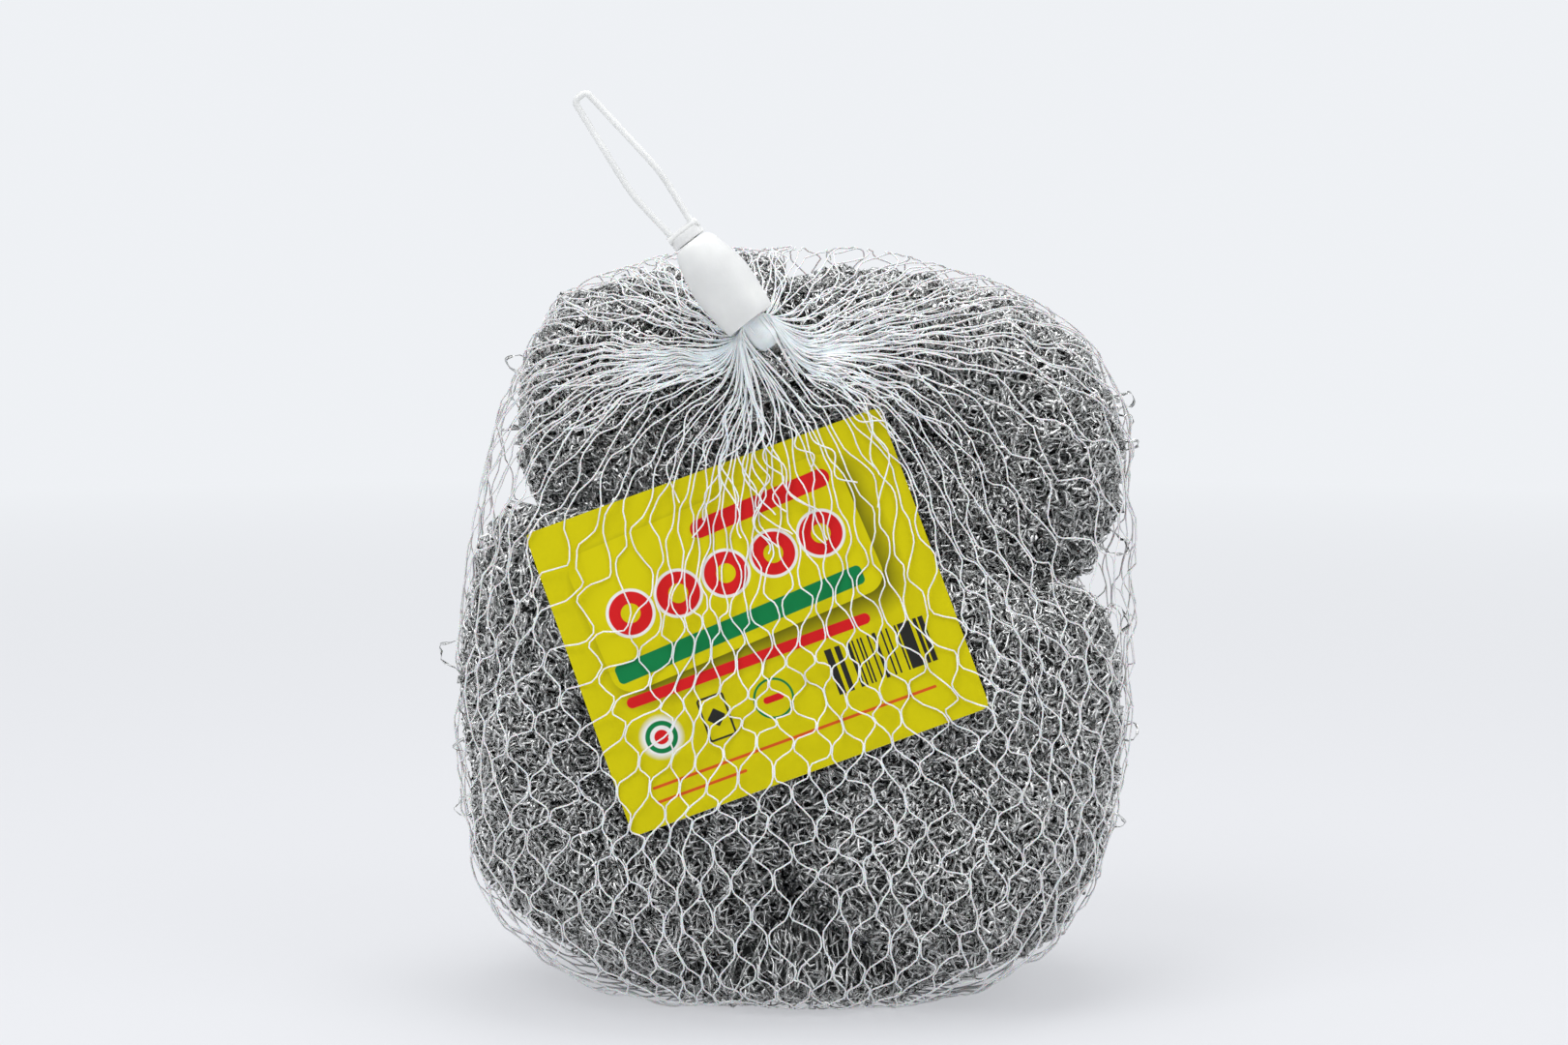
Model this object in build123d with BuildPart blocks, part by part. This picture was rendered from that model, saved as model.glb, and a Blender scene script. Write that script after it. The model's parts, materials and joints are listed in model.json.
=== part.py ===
from build123d import *
from math import asin, copysign, cos, degrees, hypot, pi, radians, sin
import os

# A pack of five knitted-wire pot scrubbers in a net bag, with a label card under the net
# and a two-piece plastic hanging clip on the bag's gathered neck.
# Millimetres, +Z up, origin at the middle of the spot the pack stands on, label facing -Y.

# Pack
half_width = 83.0
half_depth = 61.0
pack_height = 179.0

# Net: the strands' thickness, and the room between the net and what it wraps
net_wall = 0.6
net_room = 1.2

# Open cells of the net between its strands, in rows from the foot to the gathered top.
# Columns and rows fan out from a point inside the pack; rises are shares of the way up
strand_width = 1.2
net_columns = 32
net_rows = 24
cell_middle_shares = (0.0, 0.0, 0.447)
cell_foot_share = 0.05
cell_top_share = 0.955
cell_reach_share = 0.42
cell_inner_share = 0.17
cell_outer_share = 0.73
smallest_cell_share = 0.25
# Near the top the columns bunch towards the left and the right
bunch_share = 0.6
bunch_start_share = 0.66
bunch_rise_share = 0.3

# Outer form of the bag, level by level from the foot to the top:
# share of the pack's height, then left and right as shares of the half width,
# then front and back as shares of the half depth
bag_level_shares = (
    (0.000, -0.46, 0.44, -0.56, 0.54),
    (0.028, -0.67, 0.64, -0.80, 0.76),
    (0.079, -0.84, 0.79, -0.94, 0.90),
    (0.168, -0.95, 0.91, -0.99, 0.98),
    (0.290, -1.00, 0.97, -1.00, 1.00),
    (0.440, -1.00, 1.00, -0.87, 1.00),
    (0.610, -0.96, 1.00, -0.73, 0.95),
    (0.770, -0.88, 0.99, -0.61, 0.89),
    (0.871, -0.81, 0.88, -0.51, 0.82),
    (0.938, -0.70, 0.69, -0.35, 0.68),
    (0.983, -0.48, 0.43, -0.14, 0.49),
    (1.000, -0.28, 0.18, 0.02, 0.30),
)
# How square the bag's sections are: a power of 2 is an ellipse, more is fuller at the corners
bag_power = 2.7
bag_section_points = 28

# One scrubber: a round puff with a dimple at each pole, as shares of its radius and half thickness
pole_share = 0.86
crown_shares = (0.58, 1.16)
shoulder_share = 0.62
scrubber_room = 0.4
# Size of the blocks that flatten a scrubber, as a share of the pack's height
block_share = 3.0

# Squeezed scrubbers: centre, then half sizes across, deep and high, both as shares of the
# half width, half depth and pack height, and the turns about X, Y and Z
scrubber_shares = {
    "upper_left_scrubber": ((-0.265, 0.17, 0.776), (0.566, 0.58, 0.204), (0, 0, 0)),
    "upper_right_scrubber": ((0.352, 0.16, 0.732), (0.622, 0.59, 0.232), (0, 0, 0)),
    "lower_left_scrubber": ((-0.352, -0.09, 0.391), (0.616, 0.70, 0.372), (0, 0, 0)),
    "lower_right_scrubber": ((0.404, -0.11, 0.324), (0.554, 0.73, 0.2935), (0, 0, 0)),
    "bottom_scrubber": ((0.00, 0.21, 0.268), (0.66, 0.62, 0.300), (-36, 0, 0)),
}

# Where squeezed scrubbers press on each other: one point of each contact plane as shares
# of half width, half depth and pack height, and the way the plane faces
contact_shares = {
    "between_uppers": ((-0.04, 0.0, 0.75), (1.0, 0.0, 0.10)),
    "between_lowers": ((-0.05, 0.0, 0.30), (1.0, 0.0, -0.08)),
    "under_uppers": ((0.0, 0.0, 0.580), (0.16, 0.22, 1.0)),
    "behind_lower_left": ((0.0, -0.20, 0.250), (-0.50, -0.75, 0.60)),
    "behind_lower_right": ((0.0, -0.20, 0.250), (0.50, -0.75, 0.60)),
}

# Which side of each contact plane a scrubber lies on
scrubber_sides = {
    "upper_left_scrubber": (("between_uppers", -1), ("under_uppers", 1)),
    "upper_right_scrubber": (("between_uppers", 1), ("under_uppers", 1)),
    "lower_left_scrubber": (("between_lowers", -1), ("under_uppers", -1), ("behind_lower_left", 1)),
    "lower_right_scrubber": (("between_lowers", 1), ("under_uppers", -1), ("behind_lower_right", 1)),
    "bottom_scrubber": (("under_uppers", -1), ("behind_lower_left", -1), ("behind_lower_right", -1)),
}

# Label card
card_width = 88.0
card_height = 75.0
card_thickness = 0.5
card_turn = 20.0
card_lean = 14.0
card_centre_shares = (-0.11, -0.765, 0.534)
card_corner = 0.6
card_room = 0.3
card_margin = 1.1

# Gathered neck of the net, from the bag to the point where the clip swings
gather_shares = (-0.095, -0.523, 0.899)
gather_lean = 32.0
gather_base_radius = 13.0
gather_height = 11.0
gather_top_radius = 4.7
gather_drop = 2.1
neck_radius = 3.6
neck_room = 0.3

# Clip: it leans to the left and back over the upper left scrubber
clip_tilt = 37.5
clip_back = 6.0
sleeve_start = 4.4
sleeve_length = 23.2
sleeve_width = 14.2
sleeve_depth = 11.4
sleeve_mouth_share = 0.86
sleeve_shoulder_share = 0.74
sleeve_top_share = 0.46
sleeve_bore_radius = 3.6
sleeve_neck_radius = 2.0
sleeve_roof = 6.0
clip_room = 0.35

# Plug pushed up inside the sleeve, with barbs that lock it there
plug_radius = 1.6
plug_point = 0.5
barb_radius = 3.0
barb_height = 2.2
barb_count = 2
barb_pitch = 3.0
plug_reach = 5.0
head_width = 8.4
head_depth = 4.4
head_height = 1.2

# Hanging loop
loop_length = 40.0
loop_gap = 8.6
loop_foot_gap = 5.6
loop_cord = 1.6
loop_widest_share = 0.36
loop_side_radius = 40.0
loop_top_gap = 3.6
loop_top_radius = 1.4
root_radius = 1.15
root_nub = 1.4

overrun = 1.0


def spot(shares):
    """Point of the pack from shares of its half width, half depth and height."""
    return Vector(shares[0] * half_width, shares[1] * half_depth, shares[2] * pack_height)


# Places that several pieces share
card_up = Vector(0, sin(radians(card_lean)), cos(radians(card_lean)))
card_out = Vector(0, -cos(radians(card_lean)), sin(radians(card_lean)))
card_along = Vector(1, 0, 0) * cos(radians(card_turn)) + card_up * sin(radians(card_turn))
card_plane = Plane(origin=spot(card_centre_shares), x_dir=card_along, z_dir=card_out)

gather_point = spot(gather_shares)
gather_way = Vector(0, -sin(radians(gather_lean)), cos(radians(gather_lean)))
gather_plane = Plane(origin=gather_point, x_dir=(1, 0, 0), z_dir=gather_way)

swing_axis = Vector(cos(radians(clip_tilt)), 0, sin(radians(clip_tilt)))
clip_way = Vector(
    -sin(radians(clip_tilt)) * cos(radians(clip_back)),
    sin(radians(clip_back)),
    cos(radians(clip_tilt)) * cos(radians(clip_back)),
)
clip_plane = Plane(origin=gather_point, x_dir=swing_axis, z_dir=clip_way)
sleeve_end = sleeve_start + sleeve_length
root_height = sleeve_end + clip_room + head_height + clip_room


def round_share(part, size):
    """Place on a rounded section from a cosine or sine: its sign kept, its size filled out."""
    return copysign(abs(part) ** (2 / bag_power), part) * size


def bag_form(inset):
    """The form that a net takes when it is pulled tight over the pile and the card, drawn in by inset."""
    points = []
    for height, left, right, front, back in bag_level_shares:
        level = inset + height * (pack_height - 2 * inset)
        across = (right - left) / 2 * half_width - inset
        deep = (back - front) / 2 * half_depth - inset
        for number in range(bag_section_points):
            angle = 2 * pi * number / bag_section_points
            x = (left + right) / 2 * half_width + round_share(cos(angle), across)
            y = (front + back) / 2 * half_depth + round_share(sin(angle), deep)
            points.append((x, y, level))
    margin = card_margin - inset
    for side in (-1, 1):
        for end in (-1, 1):
            corner = card_plane.offset(card_thickness / 2 + margin)
            along = side * (card_width / 2 + margin)
            up = end * (card_height / 2 + margin)
            points.append(corner.from_local_coords((along, up, 0)))
    with BuildPart() as form:
        ConvexPolyhedron(points)
    return form.part


def ease(share):
    """Soft step from 0 to 1 as the share goes from 0 to 1."""
    share = min(max(share, 0), 1)
    return share * share * (3 - 2 * share)


# The columns turn gradually from straight up at the foot to the gathered neck at the top
cell_middle = spot(cell_middle_shares)
cell_turn = Vector(0, 0, 1).cross((gather_point - cell_middle).normalized())
cell_lean = degrees(asin(cell_turn.length))


def crossing_way(column, row):
    """Direction from the cells' middle to the crossing of strands at this column and row."""
    rise = cell_foot_share + (cell_top_share - cell_foot_share) * row / net_rows
    angle = 2 * pi * column / net_columns
    angle -= bunch_share * ease((rise - bunch_start_share) / bunch_rise_share) * sin(2 * angle) / 2
    across = sin(pi * rise)
    way = Vector(across * cos(angle), across * sin(angle), -cos(pi * rise))
    return way.rotate(Axis((0, 0, 0), cell_turn), cell_lean * ease(rise))


def cell_tools():
    """Four-sided wedges that open the net's cells and leave a strand's width between them."""
    reach = cell_reach_share * pack_height
    tools = []
    for row in range(1, net_rows):
        for column in range(row % 2, net_columns, 2):
            corners = [
                crossing_way(column, row - 1),
                crossing_way(column + 1, row),
                crossing_way(column, row + 1),
                crossing_way(column - 1, row),
            ]
            middle = sum(corners, Vector()) / len(corners)
            tall = (corners[2] - corners[0]).length * reach / 2
            wide = (corners[1] - corners[3]).length * reach / 2
            open_share = 1 - strand_width / 2 * hypot(tall, wide) / (tall * wide)
            if open_share < smallest_cell_share:
                continue
            ways = [middle + (corner - middle) * open_share for corner in corners]
            inner = [cell_middle + way * cell_inner_share * pack_height for way in ways]
            outer = [cell_middle + way * cell_outer_share * pack_height for way in ways]
            tools.append(ConvexPolyhedron(inner + outer))
    return tools


def puff_form():
    """Scrubber of radius 1 and half thickness about 1 at the origin, its poles on Y."""
    with BuildPart() as puff:
        with BuildSketch():
            with BuildLine():
                front = Bezier((0, pole_share), crown_shares, (1, shoulder_share), (1, 0))
                mirror(front, about=Plane.XZ)
                Line((0, -pole_share), (0, pole_share))
            make_face()
        revolve(axis=Axis.Y, revolution_arc=180)
        mirror(about=Plane.XY)
    return puff.part


def beyond_contact(name, side):
    """Contact plane drawn back by half the room, facing away from the scrubber on the given side."""
    point, way = contact_shares[name]
    inwards = Vector(*way) * side
    return Plane(origin=spot(point) + inwards.normalized() * scrubber_room / 2, z_dir=inwards * -1)


# Scrubbers: each is a puff that fits in the bag, pressed flat by its neighbours, the card and the floor
net_inset = net_wall + net_room
room_size = Vector(half_width - net_inset, half_depth - net_inset, pack_height - net_inset)
beyond_card = card_plane.offset(-card_thickness / 2 - card_room)
beyond_foot = Plane(origin=(0, 0, net_inset), z_dir=(0, 0, -1))
block_size = block_share * pack_height
puff_solid = puff_form()
scrubbers = {}
for node, (centre, half_sizes, turns) in scrubber_shares.items():
    spread = (half_sizes[0] * room_size.X, half_sizes[1] * room_size.Y, half_sizes[2] * room_size.Z)
    with BuildPart() as squeezed:
        with Locations(Location(spot(centre), turns)):
            add(scale(puff_solid, by=spread, mode=Mode.PRIVATE))
        with BuildSketch(*[beyond_contact(name, side) for name, side in scrubber_sides[node]]):
            Rectangle(block_size, block_size)
        extrude(amount=block_size, mode=Mode.SUBTRACT)
        with BuildSketch(beyond_card, beyond_foot):
            Rectangle(block_size, block_size)
        extrude(amount=block_size, mode=Mode.SUBTRACT)
    squeezed.part.label = node
    scrubbers[node] = squeezed.part

# Net bag: a thin taut skin with the gathered cone, opened between its strands
cells = cell_tools()
with BuildPart() as net_bag:
    add(bag_form(0))
    with BuildSketch(gather_plane.offset(-gather_drop - gather_height)):
        Circle(gather_base_radius)
    with BuildSketch(gather_plane.offset(-gather_drop)):
        Circle(gather_top_radius)
    loft(ruled=True)
    add(bag_form(net_wall), mode=Mode.SUBTRACT)
    with Locations(gather_point):
        Sphere(neck_radius + neck_room, mode=Mode.SUBTRACT)
    add(cells, mode=Mode.SUBTRACT)
net_bag.part.label = "net_bag"

# Net neck: the pinched strands, a ball that turns in the gathered cone
with BuildPart() as net_neck:
    with Locations(gather_point):
        Sphere(neck_radius)
net_neck.part.label = "net_neck"

# Net tail: the cut ends of the net, held inside the sleeve
tail_radius = sleeve_bore_radius - clip_room
tail_end = sleeve_end - sleeve_roof - barb_count * barb_pitch - clip_room
with BuildPart() as net_tail:
    with BuildSketch(clip_plane):
        Circle(tail_radius)
    extrude(amount=tail_end)
    with Locations(gather_point):
        Sphere(neck_radius + neck_room, mode=Mode.SUBTRACT)
    with BuildSketch(clip_plane.offset(tail_end - plug_reach)):
        Circle(plug_radius + clip_room)
    extrude(amount=plug_reach + overrun, mode=Mode.SUBTRACT)
net_tail.part.label = "net_tail"

# Clip sleeve: a rounded barrel, oval in section, with a bore and a narrow way out at the top
sleeve_sections = (
    (0.00, sleeve_mouth_share),
    (0.10, sleeve_mouth_share + (1 - sleeve_mouth_share) / 2),
    (0.30, 1.00),
    (0.62, 1.00),
    (0.80, (1 + sleeve_shoulder_share) / 2),
    (0.93, sleeve_shoulder_share),
    (1.00, sleeve_top_share),
)
with BuildPart() as clip_sleeve:
    for height, spread in sleeve_sections:
        with BuildSketch(clip_plane.offset(sleeve_start + height * sleeve_length)):
            Ellipse(spread * sleeve_width / 2, spread * sleeve_depth / 2)
    loft()
    with BuildSketch(clip_plane.offset(sleeve_start)):
        Circle(sleeve_bore_radius)
    extrude(amount=sleeve_length - sleeve_roof, mode=Mode.SUBTRACT)
    with BuildSketch(clip_plane.offset(sleeve_start)):
        Circle(sleeve_neck_radius)
    extrude(amount=sleeve_length + overrun, mode=Mode.SUBTRACT)
clip_sleeve.part.label = "clip_sleeve"

# Clip plug: a stem with barbs below the sleeve's roof, and a head that carries the loop's foot
plug_foot = tail_end - plug_reach + clip_room
barb_top = sleeve_end - sleeve_roof - clip_room
with BuildPart() as clip_plug:
    with BuildSketch(clip_plane.offset(plug_foot)):
        Circle(plug_radius - plug_point)
    with BuildSketch(clip_plane.offset(plug_foot + plug_point)):
        Circle(plug_radius)
    loft(ruled=True)
    with BuildSketch(clip_plane.offset(plug_foot + plug_point)):
        Circle(plug_radius)
    extrude(amount=sleeve_end + clip_room - plug_foot - plug_point)
    for number in range(barb_count):
        top = barb_top - number * barb_pitch
        with BuildSketch(clip_plane.offset(top - barb_height)):
            Circle(plug_radius)
        with BuildSketch(clip_plane.offset(top)):
            Circle(barb_radius)
        loft(ruled=True)
    with BuildSketch(clip_plane.offset(sleeve_end + clip_room)):
        Ellipse(head_width / 2, head_depth / 2)
    extrude(amount=head_height + root_radius)
    with BuildSketch(Plane(origin=clip_plane.offset(root_height + root_radius).origin, z_dir=swing_axis)):
        Circle(root_radius + clip_room)
    extrude(amount=head_width, both=True, mode=Mode.SUBTRACT)
clip_plug.part.label = "clip_plug"

# Hanging loop: a root bar along the fold line, and one cord up, round and down again
root_centre = clip_plane.offset(root_height + root_radius).origin
loop_plane = Plane(origin=root_centre, x_dir=swing_axis, z_dir=clip_plane.y_dir * -1)
widest = loop_widest_share * loop_length
with BuildPart() as hang_loop:
    with BuildLine(loop_plane) as loop_line:
        FilletPolyline(
            (-loop_foot_gap / 2, 0),
            (-loop_gap / 2, widest),
            (-loop_top_gap / 2, loop_length),
            (loop_top_gap / 2, loop_length),
            (loop_gap / 2, widest),
            (loop_foot_gap / 2, 0),
            radius=[loop_side_radius, loop_top_radius, loop_top_radius, loop_side_radius],
        )
    with BuildSketch(Plane(origin=loop_line.line @ 0, z_dir=loop_line.line % 0)):
        Circle(loop_cord / 2)
    sweep(path=loop_line.line)
    with BuildSketch(Plane(origin=root_centre - swing_axis * (loop_foot_gap / 2 + root_nub), z_dir=swing_axis)):
        Circle(root_radius)
    extrude(amount=loop_foot_gap + 2 * root_nub)
hang_loop.part.label = "hang_loop"

# Label card: a flat card turned in its own plane
with BuildPart() as label_card:
    with BuildSketch(card_plane.offset(-card_thickness / 2)):
        RectangleRounded(card_width, card_height, card_corner)
    extrude(amount=card_thickness)
label_card.part.label = "label_card"

pieces = list(scrubbers.values()) + [
    net_bag.part,
    net_neck.part,
    net_tail.part,
    label_card.part,
    clip_sleeve.part,
    clip_plug.part,
    hang_loop.part,
]
os.makedirs("parts", exist_ok=True)
for piece in pieces:
    export_step(piece, f"parts/{piece.label}.step")
    print(piece.label, round(piece.volume / 1000, 2), "cm3", piece.bounding_box())
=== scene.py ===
"""Looks of a pack of five knitted-wire pot scrubbers in a net bag with a hanging clip.

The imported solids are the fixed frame. Everything here is in metres in that frame:
+Z up, the label card facing -Y, and the middle of the pack's foot at the origin.
"""

import json
import logging
import math
from dataclasses import dataclass, field
from enum import Enum

import bmesh
import bpy
import numpy as np
from bpy.types import Material, Mesh, Object
from bpy.types import NodeSocket as Socket
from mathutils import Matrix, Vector
from mathutils.bvhtree import BVHTree

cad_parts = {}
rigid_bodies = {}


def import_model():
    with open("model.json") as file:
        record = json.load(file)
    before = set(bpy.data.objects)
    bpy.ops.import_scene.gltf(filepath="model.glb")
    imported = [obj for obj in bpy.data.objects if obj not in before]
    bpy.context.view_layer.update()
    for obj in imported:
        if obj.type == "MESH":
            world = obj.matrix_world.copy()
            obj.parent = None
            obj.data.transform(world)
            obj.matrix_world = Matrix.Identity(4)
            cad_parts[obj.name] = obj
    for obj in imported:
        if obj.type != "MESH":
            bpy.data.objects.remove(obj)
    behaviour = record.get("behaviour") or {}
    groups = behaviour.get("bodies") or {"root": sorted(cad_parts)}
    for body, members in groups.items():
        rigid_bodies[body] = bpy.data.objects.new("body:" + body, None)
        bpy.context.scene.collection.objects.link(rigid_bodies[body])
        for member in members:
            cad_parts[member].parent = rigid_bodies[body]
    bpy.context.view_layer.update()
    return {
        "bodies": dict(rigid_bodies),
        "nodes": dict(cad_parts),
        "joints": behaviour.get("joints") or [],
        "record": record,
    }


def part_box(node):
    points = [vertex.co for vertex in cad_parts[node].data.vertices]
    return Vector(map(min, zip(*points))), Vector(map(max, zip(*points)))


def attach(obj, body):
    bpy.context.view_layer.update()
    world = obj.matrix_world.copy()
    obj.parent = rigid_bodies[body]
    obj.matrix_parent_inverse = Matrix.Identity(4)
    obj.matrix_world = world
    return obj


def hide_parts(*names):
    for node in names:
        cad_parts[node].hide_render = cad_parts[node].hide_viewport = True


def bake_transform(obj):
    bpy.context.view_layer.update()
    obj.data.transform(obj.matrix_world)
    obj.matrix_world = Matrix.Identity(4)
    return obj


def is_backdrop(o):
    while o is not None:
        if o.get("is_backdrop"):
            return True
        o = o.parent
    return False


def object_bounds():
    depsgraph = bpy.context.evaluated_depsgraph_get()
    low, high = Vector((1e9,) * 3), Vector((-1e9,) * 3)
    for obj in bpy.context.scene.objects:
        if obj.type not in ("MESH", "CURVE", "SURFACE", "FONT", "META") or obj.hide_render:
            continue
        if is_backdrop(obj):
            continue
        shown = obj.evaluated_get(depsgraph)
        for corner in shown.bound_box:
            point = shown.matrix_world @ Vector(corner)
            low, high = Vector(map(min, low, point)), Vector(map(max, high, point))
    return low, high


LOG = logging.getLogger("scrubber_pack")
MM = 0.001
TURN = 2 * math.pi
GOLDEN_TURN = 2.39996


class Body(str, Enum):
    """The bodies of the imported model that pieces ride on."""

    PACK = "pack"
    NECK = "neck"
    CLIP = "clip"


class Slot(str, Enum):
    """The record's material slots."""

    WIRE = "galvanised_wire"
    NET = "net_plastic"
    CARD = "printed_card"
    CLIP = "clip_plastic"


def unit(vectors: np.ndarray) -> np.ndarray:
    """Vectors along the last axis, scaled to length 1."""
    return vectors / np.maximum(np.linalg.norm(vectors, axis=-1, keepdims=True), 1e-12)


def ease(share: np.ndarray) -> np.ndarray:
    """A smooth step from 0 to 1 as share goes from 0 to 1."""
    held = np.clip(share, 0.0, 1.0)
    return held * held * (3.0 - 2.0 * held)


def directions(tilt: np.ndarray, turn: np.ndarray) -> np.ndarray:
    """Unit vectors at angles from +Z and turns about it."""
    level = np.ones_like(tilt * turn)
    return np.stack([np.sin(tilt) * np.cos(turn), np.sin(tilt) * np.sin(turn), np.cos(tilt) * level], -1)


def pole_frame(pole: np.ndarray) -> np.ndarray:
    """A frame whose third axis is the pole.

    Args:
        pole: The axis that the frame's third row points along.

    Returns:
        Three unit vectors as the rows of a matrix.
    """
    axis = unit(np.asarray(pole, float))
    helper = np.array([1.0, 0.0, 0.0]) if abs(axis[0]) < 0.8 else np.array([0.0, 1.0, 0.0])
    first = unit(helper - axis * (helper @ axis))
    return np.array([first, np.cross(axis, first), axis])


@dataclass(frozen=True)
class WaveNoise:
    """Smooth seeded noise in space: a sum of sine waves in random directions."""

    seed: int
    wave: float
    waves: int = 16

    def at(self, points: np.ndarray) -> np.ndarray:
        """Values of about -1 to 1 at points, which may have any leading shape."""
        draw = np.random.default_rng(self.seed)
        ways = unit(draw.normal(size=(self.waves, 3)))
        rates = TURN / self.wave * draw.uniform(0.6, 1.7, (self.waves, 1))
        phases = draw.uniform(0.0, TURN, self.waves)
        return np.sin(points @ (ways * rates).T + phases).sum(-1) / math.sqrt(1.4 * self.waves)

    def vectors(self, points: np.ndarray) -> np.ndarray:
        """Three such values at each point, as a vector."""
        parts = [WaveNoise(self.seed + 101 * axis, self.wave, self.waves).at(points) for axis in range(3)]
        return np.stack(parts, axis=-1)


def face_tree(node: Object) -> BVHTree:
    """The faces of a CAD node, ready to be looked at along rays; its mesh isn't changed."""
    mesh = node.data
    mesh.calc_loop_triangles()
    return BVHTree.FromPolygons(
        [v.co.copy() for v in mesh.vertices],
        [tuple(t.vertices) for t in mesh.loop_triangles],
    )


def taut_tree(node: Object, neck: np.ndarray, clear: float) -> BVHTree:
    """The closed form that a CAD net is pulled over, without the gathered cone at its neck.

    Args:
        node: The net's object, whose mesh is read and not changed.
        neck: The point that the net is gathered to.
        clear: How far round that point the net is left out.

    Returns:
        The faces of the form.
    """
    form = bmesh.new()
    for vertex in node.data.vertices:
        if (vertex.co - Vector(neck)).length > clear:
            form.verts.new(vertex.co)
    bmesh.ops.convex_hull(form, input=form.verts)
    tree = BVHTree.FromBMesh(form)
    form.free()
    return tree


class RadialSurface:
    """The outer face of a form as a distance from a middle point in every direction."""

    def __init__(self, tree: BVHTree, centre: np.ndarray, passes: int = 2, rows: int = 72) -> None:
        """Looks at the form from outside along a grid of directions.

        Args:
            tree: The form's faces.
            centre: A point inside the form.
            passes: How often the distances are evened out, which rounds cut edges.
            rows: Steps from pole to pole; there are twice as many round it.
        """
        self.centre = np.asarray(centre, float)
        self.rows, self.columns = rows, 2 * rows
        grid = np.zeros((rows + 1, self.columns))
        outside = 0.4
        for row in range(rows + 1):
            for column in range(self.columns):
                way = self.way(math.pi * row / rows, TURN * column / self.columns)
                hit = tree.ray_cast(Vector(self.centre + way * outside), Vector(-way))
                grid[row, column] = outside - hit[3] if hit[0] is not None else 0.0
        for _ in range(passes):
            padded = np.vstack([grid[:1], grid, grid[-1:]])
            grid = 0.5 * grid + 0.25 * (padded[:-2] + padded[2:])
            grid = 0.5 * grid + 0.25 * (np.roll(grid, 1, axis=1) + np.roll(grid, -1, axis=1))
            grid[0], grid[-1] = grid[0].mean(), grid[-1].mean()
        self.grid = grid

    def fill_out(self, room: BVHTree, squareness: float, gap: float) -> None:
        """Makes the form squarer, as far as the room round it allows.

        Args:
            room: The faces of the room that the form stays inside.
            squareness: How much further than now it reaches along a diagonal.
            gap: What stays free between the form and the room's face.
        """
        for row in range(self.rows + 1):
            for column in range(self.columns):
                way = self.way(math.pi * row / self.rows, TURN * column / self.columns)
                x, y, z = way**2
                wanted = self.grid[row, column] * (1.0 + squareness * 4.0 * max(x * z, y * z, x * y))
                hit = room.ray_cast(Vector(self.centre), Vector(way))
                most = hit[3] - gap if hit[0] is not None else wanted
                self.grid[row, column] = max(min(wanted, most), min(self.grid[row, column], most))

    @staticmethod
    def way(tilt: float, turn: float) -> np.ndarray:
        """The unit vector at an angle from +Z and a turn about it."""
        return np.array([math.sin(tilt) * math.cos(turn), math.sin(tilt) * math.sin(turn), math.cos(tilt)])

    def reach(self, ways: np.ndarray) -> np.ndarray:
        """Distances from the centre to the face along unit vectors of any leading shape."""
        tilt = np.arccos(np.clip(ways[..., 2], -1.0, 1.0)) / math.pi * self.rows
        turn = (np.arctan2(ways[..., 1], ways[..., 0]) % TURN) / TURN * self.columns
        row = np.clip(tilt.astype(int), 0, self.rows - 1)
        column = turn.astype(int) % self.columns
        beside = (column + 1) % self.columns
        down, along = tilt - row, turn - np.floor(turn)
        upper = self.grid[row, column] * (1 - along) + self.grid[row, beside] * along
        lower = self.grid[row + 1, column] * (1 - along) + self.grid[row + 1, beside] * along
        return upper * (1 - down) + lower * down

    def points(self, ways: np.ndarray, inset: float | np.ndarray = 0.0) -> np.ndarray:
        """Points on the face along unit vectors, drawn in towards the centre by inset."""
        return self.centre + ways * (self.reach(ways) - inset)[..., None]


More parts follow.
